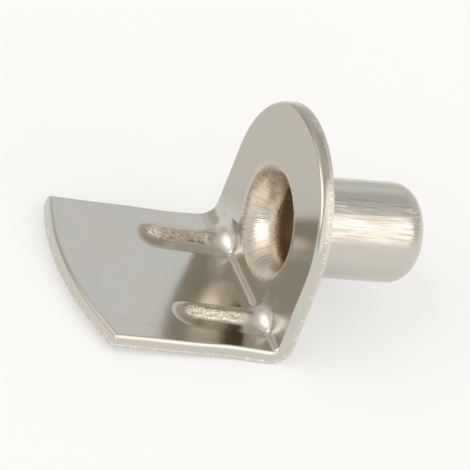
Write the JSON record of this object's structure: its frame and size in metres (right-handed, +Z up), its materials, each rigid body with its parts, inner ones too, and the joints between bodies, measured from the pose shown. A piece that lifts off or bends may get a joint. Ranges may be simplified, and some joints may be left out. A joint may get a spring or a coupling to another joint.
{
  "type": "shelf support pin",
  "caption": "Pressed sheet-steel shelf support: a hollow plug-in pin, a round-topped upright plate and a ribbed flange that carries the shelf.",
  "frame": {"origin": "on the pin's axis, where the pin leaves the plate's back face, which bears on the cabinet side", "axes": "+X along the pin's axis, from the plate towards the pin's closed tip, so the flange reaches towards -X; +Z up, square to the pin, up the plate; +Y across the strip, which is symmetric about Y = 0"},
  "size_m": [0.0177, 0.0112, 0.0107],
  "materials": {
    "nickel": "bright nickel plate on pressed steel: smooth flats that reflect their surroundings a little softly, fine radial stretch marks round the pin's mouth, orange peel on the ribs' crests, draw streaks along the pin, and sheared edges with a bright burnished band"
  },
  "bodies": {
    "root": {"shelf_support": "nickel"}
  },
  "joints": []
}
